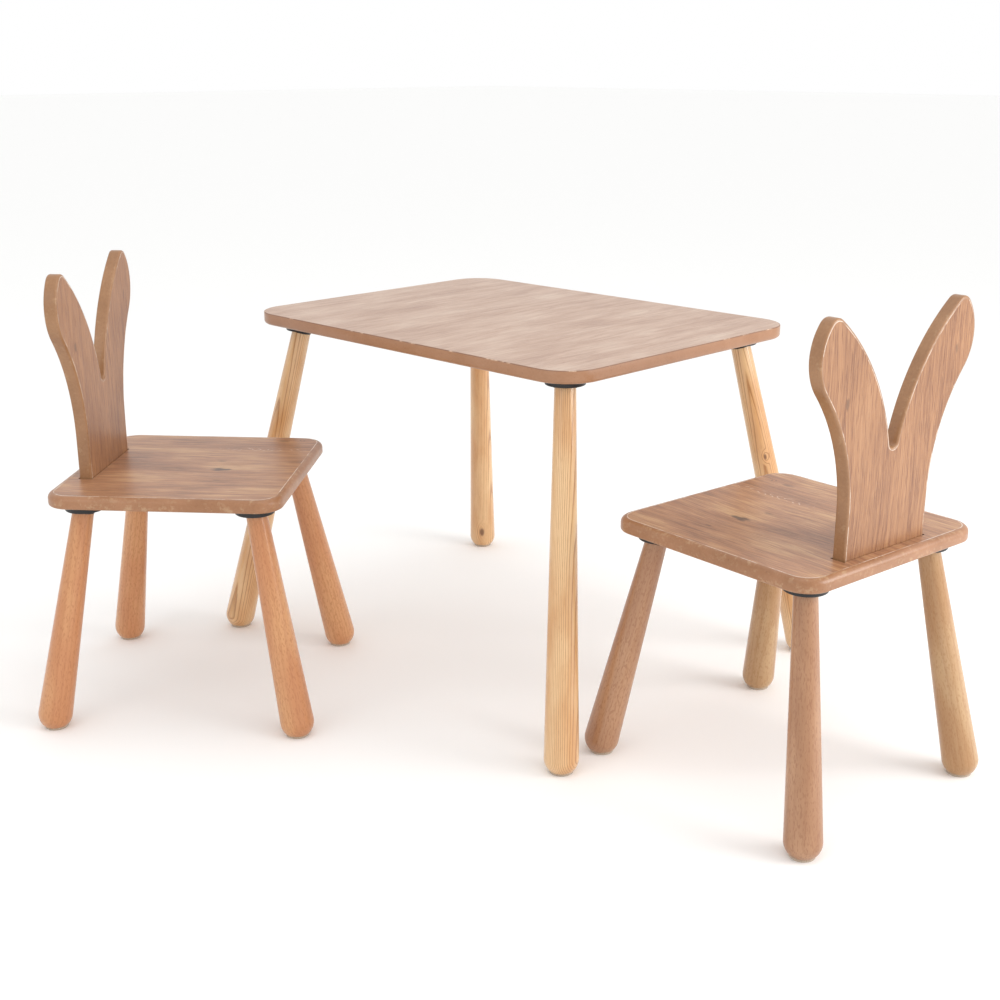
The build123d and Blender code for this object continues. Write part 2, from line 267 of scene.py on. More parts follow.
def printedOak(name, look):
    material, tree, shader = startMaterial(name)
    place = addNode(tree, "ShaderNodeAttribute", attribute_name="woodPlace").outputs["Vector"]
    swept = wandering(tree, place, 90, 260, (0.03, 0.0, 0.0))

    # knots push the streaks aside and leave a dark heart
    hearts = []
    for across, along, reach, darkness in look["knots"]:
        away = fromSpot(tree, place, (across, 0, along), (1000 / reach, 0.0, 420 / reach))
        ragged = weigh(tree, (grainNoise(tree, place, 5, 12, detail=3.0).outputs[0], 0.9), (away, 1.0))
        hearts.append(share(tree, ragged, 0.62, 1.0, darkness, ends=(1.0, 0.0)))
        aside = share(tree, away, 0.0, 3.4, reach * 0.55 * mm, ends=(1.0, 0.0))
        push = addNode(tree, "ShaderNodeCombineXYZ", {"X": aside}).outputs[0]
        swept = addNode(tree, "ShaderNodeVectorMath", {0: swept, 1: push}, operation="ADD").outputs[0]

    width, length = look["streak"], look["streakLength"]
    broad = grainNoise(tree, swept, width * 3.2, length * 1.6).outputs[0]
    middle = grainNoise(tree, swept, width, length, detail=3.0, roughness=0.6).outputs[0]
    fine = grainNoise(tree, swept, width / 5, length / 2, detail=4.0, roughness=0.7).outputs[0]
    cloud = grainNoise(tree, place, 60, 110).outputs[0]

    # growth rings, cut nearly flat, as long arches
    apart = addNode(tree, "ShaderNodeSeparateXYZ", {0: swept}).outputs
    arch = weigh(tree, (apart["X"], 95.0), (broad, 5.0))
    ring = addNode(tree, "ShaderNodeMath", {0: arch}, operation="FRACT").outputs[0]
    ringShare = share(tree, ring, 0.0, 0.55, look["growth"] * 0.22, ends=(1.0, 0.0))

    strong = look["contrast"]
    tone = weigh(tree, (broad, figure["broad"] * strong), (middle, figure["middle"] * strong),
                 (fine, figure["fine"] * strong), (cloud, figure["cloud"] * strong), (ringShare, -1.0),
                 start=figure["level"] + figure["centre"] * strong)
    colour = addNode(tree, "ShaderNodeValToRGB", {0: tone}, stops=[
        (0.18, look["dark"]), (0.42, look["mid"]), (0.60, look["light"]), (0.84, look["pale"]),
    ]).outputs[0]

    # limed, chalky drifts lie between the streaks
    chalk = weigh(tree, (cloud, 0.6), (middle, 0.4))
    colour = paint(tree, colour, look["pale"], chalk, 0.52, 0.72, look["limed"])

    # pores, drawn 1.2 mm wide because the real 0.3 mm would not show
    pores = grainNoise(tree, swept, 1.2, 34.0, roughness=0.6).outputs[0]
    poreShare = share(tree, pores, 0.53, 0.64, look["pores"])
    colour = addNode(tree, "ShaderNodeMix", {
        0: poreShare, 6: colour, 7: linear(look["dark"]),
    }, data_type="RGBA").outputs[2]
    # chalk caught in the pressed grain: short pale dashes
    dashes = grainNoise(tree, swept, 1.3, 28.0, detail=3.0, roughness=0.65).outputs[0]
    colour = paint(tree, colour, look["pale"], dashes, 0.54, 0.66, look["dashes"])

    for heart in hearts:
        colour = addNode(tree, "ShaderNodeMix", {
            0: heart, 6: colour, 7: linear(darkHeart),
        }, data_type="RGBA").outputs[2]
    for across, along, size in look["dots"]:
        near = fromSpot(tree, place, (across, 0, along), (1000 / size, 0.0, 1000 / size))
        colour = paint(tree, colour, dotInk, near, 0.6, 1.1, ends=(0.9, 0.0))

    # ray flecks: a row of small pale chevrons where the scanned board was quarter sawn
    for across, along, half in look["flecks"]:
        apart = addNode(tree, "ShaderNodeSeparateXYZ", {0: place}).outputs
        side, ahead = (
            addNode(tree, "ShaderNodeMath", {
                0: weigh(tree, (apart[axis], 1.0), start=-centre * mm),
            }, operation="ABSOLUTE").outputs[0]
            for axis, centre in (("X", across), ("Z", along))
        )
        patchy = grainNoise(tree, place, 9, 9).outputs[0]
        slant = weigh(tree, (apart["Z"], 95.0), (side, 120.0), (patchy, 0.9))
        tick = addNode(tree, "ShaderNodeMath", {0: slant}, operation="FRACT").outputs[0]
        lengthwise = share(tree, ahead, (half - 12) * mm, half * mm, ends=(1.0, 0.0))
        inRow = share(tree, side, 0.004, 0.008, lengthwise, ends=(1.0, 0.0))
        broken = share(tree, grainNoise(tree, place, 7, 16, detail=1.0).outputs[0], 0.42, 0.56)
        colour = paint(tree, colour, rayTone, tick, 0.0, 0.22, inRow, broken, 0.8, ends=(1.0, 0.0))

    gloss = share(tree, fine, 0.3, 0.7, ease="LINEAR",
                  ends=(look["roughness"] - 0.06, look["roughness"] + 0.08))
    pressed = weigh(tree, (fine, 0.6), (poreShare, -1.0))
    finishSurface(tree, shader, colour, gloss, pressed, 0.35, 0.25 * mm)
    shader.inputs["IOR"].default_value = 1.5
    shader.inputs["Coat Weight"].default_value = look["coat"]
    shader.inputs["Coat Roughness"].default_value = 0.25
    return material


# Lacquered MDF edge: routed, sealed and sprayed brown, then rubbed through here and there.
# The eye gets an even, grainless brown with faint mottling, pale where the lacquer is thin.
edges = {
    "tableEdgeLacquer": {
        "base": "#a87b5b", "shade": "#9c6e4c", "worn": "#c9b097",
        "wear": 0.30, "wearStart": 0.62, "roughness": 0.36,
    },
    "seatEdgeLacquer": {
        "base": "#a37350", "shade": "#92633f", "worn": "#c2a27e",
        "wear": 0.50, "wearStart": 0.52, "roughness": 0.38,
    },
    "backEdgeLacquer": {
        "base": "#a17651", "shade": "#8e6441", "worn": "#bc9b76",
        "wear": 0.40, "wearStart": 0.55, "roughness": 0.38,
    },
}


def lacqueredEdge(name, look):
    material, tree, shader = startMaterial(name)
    place = addNode(tree, "ShaderNodeAttribute", attribute_name="woodPlace").outputs["Vector"]
    drop = addNode(tree, "ShaderNodeAttribute", attribute_name="edgeDrop").outputs["Fac"]
    mottle = grainNoise(tree, place, 3, 3, detail=3.0, roughness=0.6).outputs[0]
    drift = grainNoise(tree, place, 55, 55, detail=3.0, roughness=0.55).outputs[0]
    mixed = weigh(tree, (drift, 0.7), (mottle, 0.3))
    colour = addNode(tree, "ShaderNodeValToRGB", {0: mixed}, stops=[
        (0.36, look["shade"]), (0.60, look["base"]),
    ]).outputs[0]
    # thin lacquer: along the top of the rounding, at its foot, and in patches
    nearTop = share(tree, drop, 0.002, 0.010, ends=(1.0, 0.35))
    nearFoot = share(tree, drop, 0.011, 0.017, ends=(0.0, 0.5))
    exposed = weigh(tree, (nearTop, 1.0), (nearFoot, 1.0))
    patch = grainNoise(tree, place, 9, 9, detail=4.0, roughness=0.7).outputs[0]
    colour = paint(tree, colour, look["worn"], patch, look["wearStart"], look["wearStart"] + 0.14,
                   exposed, look["wear"])
    specks = grainNoise(tree, place, 1.6, 1.6, detail=1.0).outputs[0]
    colour = paint(tree, colour, "#6f4a35", specks, 0.70, 0.76, 0.5)
    gloss = share(tree, mottle, 0.3, 0.7, ease="LINEAR",
                  ends=(look["roughness"] - 0.06, look["roughness"] + 0.08))
    finishSurface(tree, shader, colour, gloss, mixed, 0.3, 0.3 * mm)
    shader.inputs["Coat Weight"].default_value = 0.2
    shader.inputs["Coat Roughness"].default_value = 0.2
    return material


# Arris: the router's sharp dark line; its pale patches are partly sanded through to the pale primer, partly
# painted highlight
arrises = {
    "tableArrisLine": {"line": "#8a654d", "paleAndHighlight": "#d2b49c", "share": 0.56},
    "seatArrisLine": {"line": "#b08d74", "paleAndHighlight": "#e9dccf", "share": 0.42},
    "backArrisLine": {"line": "#9c7a62", "paleAndHighlight": "#dccab9", "share": 0.46},
}


def arrisLineAndHighlight(name, look):
    material, tree, shader = startMaterial(name)
    place = addNode(tree, "ShaderNodeAttribute", attribute_name="woodPlace").outputs["Vector"]
    breaks = grainNoise(tree, place, 30, 30, detail=4.0, roughness=0.65).outputs[0]
    # pale where the noise is high: partly the pale primer showing through, partly painted highlight along the
    # arris
    colour = paint(tree, linear(look["line"]), look["paleAndHighlight"], breaks, look["share"], look["share"] + 0.12)
    tree.links.new(colour, shader.inputs["Base Color"])
    gloss = share(tree, breaks, 0.3, 0.7, ends=(0.42, 0.55), ease="LINEAR")
    tree.links.new(gloss, shader.inputs["Roughness"])
    return material


# Turned and clear-lacquered hardwood. The eye gets growth rings cut by the lathe into long lines and
# arches, pores or flecks between them, and a tall soft highlight from the lacquer.
woods = {
    "lacqueredAsh": {
        "late": "#cf9c68", "early": "#a06938", "fresh": "#e3bd8d", "ring": 2.1, "pith": (14.0, 66.0),
        "poreWidth": 0.9, "poreLength": 11.0, "pores": 0.55, "contrast": 0.95,
        "wander": 4.0, "lineShare": 0.36,
        "fleckShare": 0.0, "roughness": 0.30, "coat": 0.55,
    },
    "lacqueredBeech": {
        "late": "#c08153", "early": "#aa6a3e", "fresh": "#cc9463", "ring": 4.5, "pith": (46.0, 14.0),
        "poreWidth": 0.8, "poreLength": 3.2, "pores": 0.35, "contrast": 0.35, "wander": 6.0, "lineShare": 0.5,
        "fleckShare": 0.45, "roughness": 0.34, "coat": 0.4,
    },
    "pinkBeech": {
        "late": "#a27452", "early": "#905f40", "fresh": "#b18562", "ring": 4.2, "pith": (52.0, -12.0),
        "poreWidth": 0.8, "poreLength": 3.0, "pores": 0.40, "contrast": 0.30, "wander": 6.0, "lineShare": 0.5,
        "fleckShare": 0.50, "roughness": 0.36, "coat": 0.35,
    },
    "amberBeech": {
        "late": "#ab8054", "early": "#986737", "fresh": "#b8946a", "ring": 5.0, "pith": (40.0, 20.0),
        "poreWidth": 0.8, "poreLength": 3.4, "pores": 0.30, "contrast": 0.35, "wander": 6.0, "lineShare": 0.5,
        "fleckShare": 0.35, "roughness": 0.34, "coat": 0.4,
    },
}


def turnedWood(name, look, knots=()):
    material, tree, shader = startMaterial(name)
    place = addNode(tree, "ShaderNodeAttribute", attribute_name="woodPlace").outputs["Vector"]
    swept = wandering(tree, place, 70, 230, (look["wander"] * mm, look["wander"] * mm, 0.0))

    # distance from the heart of the tree, which leans a little against the leg
    pithX, pithY = look["pith"]
    fromPith = addNode(tree, "ShaderNodeMapping", {
        "Vector": swept, "Location": (pithX * mm, pithY * mm, 0), "Scale": (1.0, 1.0, 0.014),
    }).outputs["Vector"]
    outward = addNode(tree, "ShaderNodeVectorMath", {0: fromPith}, operation="LENGTH").outputs["Value"]
    uneven = grainNoise(tree, place, 14, 400).outputs[0]
    years = weigh(tree, (outward, 1000 / look["ring"]), (uneven, 1.4))
    hearts = []
    for knotX, knotY, knotZ, reach in knots:
        away = fromSpot(tree, place, (knotX, knotY, knotZ), (1000 / reach, 1000 / reach, 500 / reach))
        years = weigh(tree, (share(tree, away, 0.0, 3.0, ends=(2.4, 0.0)), 1.0), start=years)
        hearts.append(share(tree, away, 0.5, 1.1, ends=(0.85, 0.0)))
    year = addNode(tree, "ShaderNodeMath", {0: years}, operation="FRACT").outputs[0]

    # a dark line of early wood, sharp where the year begins and fading into the late wood
    early = share(tree, year, 0.0, look["lineShare"], ends=(1.0, 0.0))
    edge = share(tree, year, 0.92, 1.0)
    line = addNode(tree, "ShaderNodeMath", {0: early, 1: edge}, operation="MAXIMUM").outputs[0]
    fibre = grainNoise(tree, place, 1.1, 45, roughness=0.6).outputs[0]
    slow = grainNoise(tree, place, 40, 140).outputs[0]

    colour = paint(tree, linear(look["late"]), look["fresh"], slow, 0.36, 0.64)
    colour = paint(tree, colour, look["early"], fibre, 0.30, 0.62, line, look["contrast"], ends=(0.45, 1.0))
    colour = paint(tree, colour, look["fresh"], fibre, 0.52, 0.72, 0.35)

    # pores, drawn a little wider than their 0.3 mm so that they show
    pore = grainNoise(tree, place, look["poreWidth"], look["poreLength"], detail=1.0).outputs[0]
    poreShare = share(tree, pore, 0.60, 0.70, look["pores"], weigh(tree, (line, 0.7), start=0.3))
    colour = addNode(tree, "ShaderNodeMix", {
        0: poreShare, 6: colour, 7: linear(look["early"]),
    }, data_type="RGBA").outputs[2]
    # rays: short shining dashes
    if look["fleckShare"]:
        rays = grainNoise(tree, place, 1.4, 5.0, detail=0.0).outputs[0]
        colour = paint(tree, colour, look["early"], rays, 0.57, 0.66, look["fleckShare"])
    for heart in hearts:
        colour = addNode(tree, "ShaderNodeMix", {
            0: heart, 6: colour, 7: linear("#6b3f22"),
        }, data_type="RGBA").outputs[2]

    gloss = share(tree, fibre, 0.3, 0.7, ease="LINEAR",
                  ends=(look["roughness"] - 0.05, look["roughness"] + 0.08))
    relief = weigh(tree, (fibre, 0.3), (poreShare, -1.0), (line, -0.25))
    finishSurface(tree, shader, colour, gloss, relief, 0.35, 0.3 * mm)
    shader.inputs["IOR"].default_value = 1.5
    shader.inputs["Coat Weight"].default_value = look["coat"]
    shader.inputs["Coat Roughness"].default_value = 0.12
    return material


def mouldedNylon():
    # Injection-moulded black nylon: satin, with the fine spark texture of the mould
    material, tree, shader = startMaterial("mouldedBlackNylon")
    place = addNode(tree, "ShaderNodeTexCoord").outputs["Object"]
    texture = grainNoise(tree, place, 0.9, 0.9).outputs[0]
    smear = grainNoise(tree, place, 14, 14, detail=3.0).outputs[0]
    colour = paint(tree, linear("#070708"), "#131316", smear, 0.4, 0.7)
    gloss = share(tree, smear, 0.3, 0.7, ends=(0.38, 0.55), ease="LINEAR")
    finishSurface(tree, shader, colour, gloss, texture, 0.25, 0.1 * mm)
    shader.inputs["IOR"].default_value = 1.53
    return material


def zincPlate():
    # Zinc-plated steel: bluish grey, faintly clouded by the plating bath
    material, tree, shader = startMaterial("zincPlatedSteel")
    place = addNode(tree, "ShaderNodeTexCoord").outputs["Object"]
    cloud = grainNoise(tree, place, 2.5, 2.5, detail=3.0).outputs[0]
    tree.links.new(paint(tree, linear("#a9adb2"), "#c9ccd0", cloud, 0.35, 0.65), shader.inputs["Base Color"])
    gloss = share(tree, cloud, 0.3, 0.7, ends=(0.25, 0.42), ease="LINEAR")
    tree.links.new(gloss, shader.inputs["Roughness"])
    shader.inputs["Metallic"].default_value = 1.0
    return material


def pressedFelt():
    # Needled felt: matt, flecked with single fibres, a little fuzzy at a glancing angle
    material, tree, shader = startMaterial("pressedFelt")
    place = addNode(tree, "ShaderNodeTexCoord").outputs["Object"]
    fuzz = grainNoise(tree, place, 0.8, 0.8, detail=3.0, roughness=0.7, warp=0.6).outputs[0]
    colour = addNode(tree, "ShaderNodeValToRGB", {0: fuzz}, stops=[
        (0.32, "#7d6a58"), (0.52, "#b7a48f"), (0.72, "#d3c4b1"),
    ]).outputs[0]
    tree.links.new(colour, shader.inputs["Base Color"])
    bump = addNode(tree, "ShaderNodeBump", {"Height": fuzz, "Strength": 0.8, "Distance": 0.6 * mm})
    tree.links.new(bump.outputs[0], shader.inputs["Normal"])
    shader.inputs["Roughness"].default_value = 0.95
    shader.inputs["Sheen Weight"].default_value = 0.4
    shader.inputs["Sheen Roughness"].default_value = 0.6
    return material


def rawFibreboard():
    # Bare MDF where the cutter went through the decor: pressed brown fibre, quite matt
    material, tree, shader = startMaterial("rawFibreboard")
    place = addNode(tree, "ShaderNodeAttribute", attribute_name="woodPlace").outputs["Vector"]
    fibre = grainNoise(tree, place, 1.0, 1.0, detail=3.0).outputs[0]
    tree.links.new(paint(tree, linear("#5a4130"), "#7c5d45", fibre, 0.35, 0.65), shader.inputs["Base Color"])
    bump = addNode(tree, "ShaderNodeBump", {"Height": fibre, "Strength": 0.5, "Distance": 0.3 * mm})
    tree.links.new(bump.outputs[0], shader.inputs["Normal"])
    shader.inputs["Roughness"].default_value = 0.85
    return material


finishes = {name: printedOak(name, look) for name, look in decors.items()}
finishes.update({name: lacqueredEdge(name, look) for name, look in edges.items()})
finishes.update({name: arrisLineAndHighlight(name, look) for name, look in arrises.items()})
finishes["rawFibreboard"] = rawFibreboard()
finishes["mouldedBlackNylon"] = mouldedNylon()
finishes["zincPlatedSteel"] = zincPlate()
finishes["pressedFelt"] = pressedFelt()
print("finishes mixed:", len(finishes))


def standBody(body):
    # where a body stands: its board's middle on the floor, turned to the way it faces
    isChair = body in chairs
    middle = boxMiddle(body + ("_seat" if isChair else "_top"))
    facing = chairs[body]["facing"] if isChair else 0.0
    return Matrix.Translation((middle.x, middle.y, 0)) @ Matrix.Rotation(facing, 4, "Z")


chairs = {
    "chair_left": {"facing": radians(40.3), "decorSide": 1, "decorShift": 0.0,
                   "woods": ("lacqueredBeech",) * 4},
    # the right seat was cut from the same print, turned over end for end
    "chair_right": {"facing": radians(174.0), "decorSide": -1, "decorShift": 25 * mm,
                    "woods": ("pinkBeech", "amberBeech", "pinkBeech", "amberBeech")},
}
corners = {"front_left": (1, 1), "front_right": (1, -1), "rear_left": (-1, 1), "rear_right": (-1, -1)}

boards = {
    "thickness": 16 * mm,
    "support": 0.5 * mm,       # a narrow flat ring that keeps the face's shading flat
    "arrisLine": 0.7 * mm,
    "roundSteps": 7,
    "table": {"length": 600 * mm, "width": 450 * mm, "height": 472 * mm, "corner": 50 * mm,
              "topArris": 1.0 * mm, "bottomRound": 4 * mm},
    "seat": {"depth": 290 * mm, "width": 300 * mm, "height": 306 * mm, "corner": 31 * mm,
             "topRound": 7 * mm, "bottomRound": 3 * mm},
    "back": {"inset": 20 * mm, "slotDepth": 8 * mm, "baseHalf": 70 * mm, "faceRound": 2.6 * mm,
             "waistStart": 50 * mm, "earReach": 132 * mm, "earHeight": 219 * mm, "earRadius": 57 * mm,
             "tipHeight": 261 * mm, "tipRadius": 14 * mm, "innerRadius": 243 * mm,
             "notchBottom": 112 * mm, "notchRadius": 6.5 * mm, "relief": 1.7 * mm,
             "screwSpacing": 48 * mm, "screwHead": 4.8 * mm, "screwShank": 2.5 * mm},
}


def arcPoints(centre, radius, start, end, steps):
    # points and inward directions along an arc; a hollow arc has a negative radius
    points = []
    for step in range(steps):
        angle = start + (end - start) * step / steps
        way = Vector((cos(angle), sin(angle)))
        points.append((centre + way * abs(radius), -way if radius > 0 else way))
    return points


def roundedOutline(length, width, corner, steps=14):
    outline = []
    for quarter, (signX, signY) in enumerate(((1, 1), (-1, 1), (-1, -1), (1, -1))):
        centre = Vector((signX * (length / 2 - corner), signY * (width / 2 - corner)))
        start = quarter * pi / 2
        outline += arcPoints(centre, corner, start, start + pi / 2, steps)
        end = start + pi / 2
        way = Vector((cos(end), sin(end)))
        outline.append((centre + way * corner, -way))
    return outline


def rounding(radius, steps, inset=0.0):
    # inset and drop of a quarter round, from the face down to the side
    return [(inset + radius * (1 - sin(pi / 2 * k / steps)), radius * (1 - cos(pi / 2 * k / steps)))
            for k in range(steps + 1)]


def boardMesh(name, outline, profile, lay, grain, materials, pockets=()):
    # profile: (inset, level, band material) from the top face to the bottom face
    # pockets: (face, loop, [(inset, depth), ...]) cut into the top or bottom face
    mesh = bmesh.new()
    woodPlace = mesh.verts.layers.float_vector.new("woodPlace")
    edgeDrop = mesh.verts.layers.float.new("edgeDrop")

    def ring(loop, inset, level, drop):
        verts = []
        for point, inward in loop:
            spot = point + inward * inset
            flat = Vector((spot.x, spot.y, level))
            vert = mesh.verts.new(lay @ flat)
            vert[woodPlace] = grain @ flat
            vert[edgeDrop] = drop
            verts.append(vert)
        return verts

    def strip(upper, lower, material):
        for k in range(len(upper)):
            n = (k + 1) % len(upper)
            face = mesh.faces.new((upper[k], lower[k], lower[n], upper[n]))
            face.material_index = material
            face.smooth = True

    def cap(rim, holes, material):
        loops = [rim] + holes
        if not holes:
            faces = [mesh.faces.new(rim)]
        else:
            rimEdges = []
            for loop in loops:
                for k in range(len(loop)):
                    a, b = loop[k], loop[(k + 1) % len(loop)]
                    rimEdges.append(mesh.edges.get((a, b)) or mesh.edges.new((a, b)))
            faces = [f for f in bmesh.ops.triangle_fill(mesh, edges=rimEdges, use_beauty=True)["geom"]
                     if isinstance(f, bmesh.types.BMFace)]
        for face in faces:
            face.material_index = material
            face.smooth = True

    rings, travelled, last = [], 0.0, None
    for inset, level, material in profile:
        if last:
            travelled += hypot(inset - last[0], level - last[1])
        rings.append(ring(outline, inset, level, travelled))
        last = (inset, level)
    for k in range(len(profile) - 1):
        strip(rings[k], rings[k + 1], profile[k][2])
    holes = {"top": [], "bottom": []}
    for face, loop, steps in pockets:
        base = profile[0][1] if face == "top" else profile[-1][1]
        sense = -1 if face == "top" else 1
        levels = [ring(loop, inset, base + sense * depth, 0.0) for inset, depth in steps]
        for k in range(len(levels) - 1):
            strip(levels[k], levels[k + 1], len(materials) - 1)
        end = mesh.faces.new(levels[-1])
        end.material_index = len(materials) - 1
        holes[face].append(levels[0])
    cap(rings[0], holes["top"], 0)
    cap(rings[-1], holes["bottom"], profile[-1][2])
    bmesh.ops.recalc_face_normals(mesh, faces=mesh.faces)
    data = bpy.data.meshes.new(name)
    mesh.to_mesh(data)
    mesh.free()
    data.set_sharp_from_angle(angle=radians(50))
    for material in materials:
        data.materials.append(finishes[material])
    piece = bpy.data.objects.new(name, data)
    scene.collection.objects.link(piece)
    return piece


def boardProfile(top, topRound, bottomRound, square=False):
    # decor face, thin rubbed line, lacquered side, decor underside
    thickness, support, line = boards["thickness"], boards["support"], boards["arrisLine"]
    profile = [(topRound + support, top, 0)]
    if square:
        turn = [(topRound, 0.0), (topRound * 0.3, topRound * 0.3), (0.0, topRound)]
    else:
        turn = rounding(topRound, boards["roundSteps"])
        profile = [(topRound + line + support, top, 0), (topRound + line, top, 1)]
    for k, (inset, drop) in enumerate(turn):
        band = 1 if square and k < len(turn) - 1 else 2
        profile.append((inset, top - drop, band))
    bottom = top - thickness
    low = [(inset, bottom + rise, 2) for inset, rise in reversed(rounding(bottomRound, boards["roundSteps"]))]
    profile += low
    profile[-1] = (profile[-1][0], bottom, 3)
    profile.append((bottomRound + support, bottom, 3))
    return profile


def buildTableTop():
    size = boards["table"]
    outline = roundedOutline(size["length"], size["width"], size["corner"])
    lay = standBody("table")
    # the grain runs along the short side
    grain = Matrix(((1, 0, 0), (0, 0, 1), (0, 1, 0)))
    profile = boardProfile(size["height"], size["topArris"], size["bottomRound"], square=True)
    piece = boardMesh("tableTop", outline, profile, lay, grain,
                      ("washedOakDecor", "tableArrisLine", "tableEdgeLacquer", "washedOakDecor"))
    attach(piece, "table")
    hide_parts("table_top")


def slotOutline():
    # the backrest's slot, with a small round relief left by the cutter at each corner
    back, half = boards["back"], boards["thickness"] / 2
    centre = -boards["seat"]["depth"] / 2 + back["inset"] + half
    x, y, r = half + 0.05 * mm, back["baseHalf"] + 0.05 * mm, back["relief"]
    points = []
    for signX, signY, start in ((1, 1, -40), (-1, 1, 50), (-1, -1, 140), (1, -1, 230)):
        middle = Vector((centre + signX * (x - 0.6 * mm), signY * (y + 0.2 * mm)))
        for step in range(11):
            angle = radians(start + 17 * step)
            points.append((middle + Vector((cos(angle), sin(angle))) * r, Vector((0, 0))))
    return points


def circleOutline(x, y, radius, steps=20):
    return [(Vector((x + cos(2 * pi * k / steps) * radius, y + sin(2 * pi * k / steps) * radius)),
             Vector((-cos(2 * pi * k / steps), -sin(2 * pi * k / steps)))) for k in range(steps)]


def buildSeat(name):
    size, back = boards["seat"], boards["back"]
    outline = roundedOutline(size["depth"], size["width"], size["corner"], steps=12)
    side, shift = chairs[name]["decorSide"], chairs[name]["decorShift"]
    # the grain runs from front to back
    crosswise = Matrix(((0, side, 0, 0), (0, 0, 1, 0), (1, 0, 0, 0), (0, 0, 0, 1)))
    grain = Matrix.Translation((shift, 0, 0)) @ crosswise
    centre = -size["depth"] / 2 + back["inset"] + boards["thickness"] / 2
    pockets = [("top", slotOutline(), [(0, 0), (0, back["slotDepth"])])]
    for step in (-1, 0, 1):
        rim = circleOutline(centre, step * back["screwSpacing"], back["screwHead"] + 0.05 * mm)
        sunk = back["screwHead"] - back["screwShank"]
        pockets.append(("bottom", rim,
                        [(0, 0), (sunk, sunk),
                         (sunk, 7.5 * mm)]))
    profile = boardProfile(size["height"], size["topRound"], size["bottomRound"])
    piece = boardMesh(name + "_seatBoard", outline, profile, standBody(name), grain,
                      ("smokedOakDecor", "seatArrisLine", "seatEdgeLacquer",
                       "smokedOakDecor", "rawFibreboard"),
                      pockets)
    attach(piece, name)
    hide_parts(name + "_seat")


def awayFrom(centre, towards, distance):
    return centre + (towards - centre).normalized() * distance


def arcBetween(centre, radius, start, end, steps):
    first = atan2(start.y - centre.y, start.x - centre.x)
    last = atan2(end.y - centre.y, end.x - centre.x)
    while last - first > pi:
        last -= 2 * pi
    while last - first < -pi:
        last += 2 * pi
    return arcPoints(centre, radius, first, last, steps)


def backOutline():
    # two rabbit ears in tangent arcs: across, and height above the seat
    size = boards["back"]
    ear = Vector((size["earReach"] - size["earRadius"], size["earHeight"]))
    offset = size["earRadius"] - size["tipRadius"]
    lift = size["tipHeight"] - size["tipRadius"] - size["earHeight"]
    tip = ear + Vector((sqrt(offset ** 2 - lift ** 2), lift))
    drop, step = size["earHeight"] - size["waistStart"], size["baseHalf"] - ear.x
    waistRadius = (step ** 2 + drop ** 2 - size["earRadius"] ** 2) / (2 * (size["earRadius"] - step))
    waist = Vector((size["baseHalf"] + waistRadius, size["waistStart"]))
    notch = Vector((0, size["notchBottom"] + size["notchRadius"]))
    innerA, innerB = size["innerRadius"] - size["tipRadius"], size["innerRadius"] + size["notchRadius"]
    gap = (notch - tip).length
    along = (gap ** 2 + innerA ** 2 - innerB ** 2) / (2 * gap)
    aside = sqrt(innerA ** 2 - along ** 2)
    way = (notch - tip).normalized()
    inner = min((tip + way * along + Vector((-way.y, way.x)) * s * aside for s in (1, -1)), key=lambda p: p.y)

    sideEnd = Vector((size["baseHalf"], size["waistStart"]))
    waistEnd = awayFrom(waist, ear, waistRadius)
    earEnd = awayFrom(ear, tip, size["earRadius"])
    tipEnd = awayFrom(inner, tip, size["innerRadius"])
    innerEnd = awayFrom(inner, notch, size["innerRadius"])
    right = [(Vector((size["baseHalf"], -size["slotDepth"])), Vector((-1, 1)))]
    right += [(Vector((size["baseHalf"], height)), Vector((-1, 0))) for height in (0, size["waistStart"] / 2)]
    right += arcBetween(waist, -waistRadius, sideEnd, waistEnd, 14)
    right += arcBetween(ear, size["earRadius"], waistEnd, earEnd, 18)
    right += arcBetween(tip, size["tipRadius"], earEnd, tipEnd, 14)
    right += arcBetween(inner, size["innerRadius"], tipEnd, innerEnd, 22)
    right += arcBetween(notch, -size["notchRadius"], innerEnd, Vector((0, size["notchBottom"])), 7)
    bottom = (Vector((0, size["notchBottom"])), Vector((0, -1)))
    left = [(Vector((-p.x, p.y)), Vector((-n.x, n.y))) for p, n in reversed(right)]
    return right + [bottom] + left


def buildBackrest(name):
    size, half = boards["back"], boards["thickness"] / 2
    radius, support, line = size["faceRound"], boards["support"], boards["arrisLine"]
    outline = backOutline()
    round_ = rounding(radius, boards["roundSteps"])
    profile = [(radius + line + support, half, 0), (radius + line, half, 1)]
    profile += [(inset, half - drop, 2) for inset, drop in round_]
    profile += [(inset, drop - half, 2) for inset, drop in reversed(round_)]
    profile[-1] = (radius, -half, 1)
    profile += [(radius + line, -half, 0), (radius + line + support, -half, 0)]
    seatTop = boards["seat"]["height"]
    centre = -boards["seat"]["depth"] / 2 + size["inset"] + half
    # across, height and depth of the outline to the chair's own axes
    stand = Matrix(((0, 0, 1, centre), (1, 0, 0, 0), (0, 1, 0, seatTop), (0, 0, 0, 1)))
    side = chairs[name]["decorSide"]
    grain = Matrix(((side, 0, 0, 0), (0, 0, 1, 0), (0, 1, 0, 0), (0, 0, 0, 1)))
    piece = boardMesh(name + "_earBack", outline, profile, standBody(name) @ stand, grain,
                      ("straightOakDecor", "backArrisLine", "backEdgeLacquer"))
    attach(piece, name)
    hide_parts(name + "_backrest")


def buildBoards():
    buildTableTop()
    for name in chairs:
        buildSeat(name)
        buildBackrest(name)
    print("boards cut: one table top, two seats, two backrests")


buildBoards()

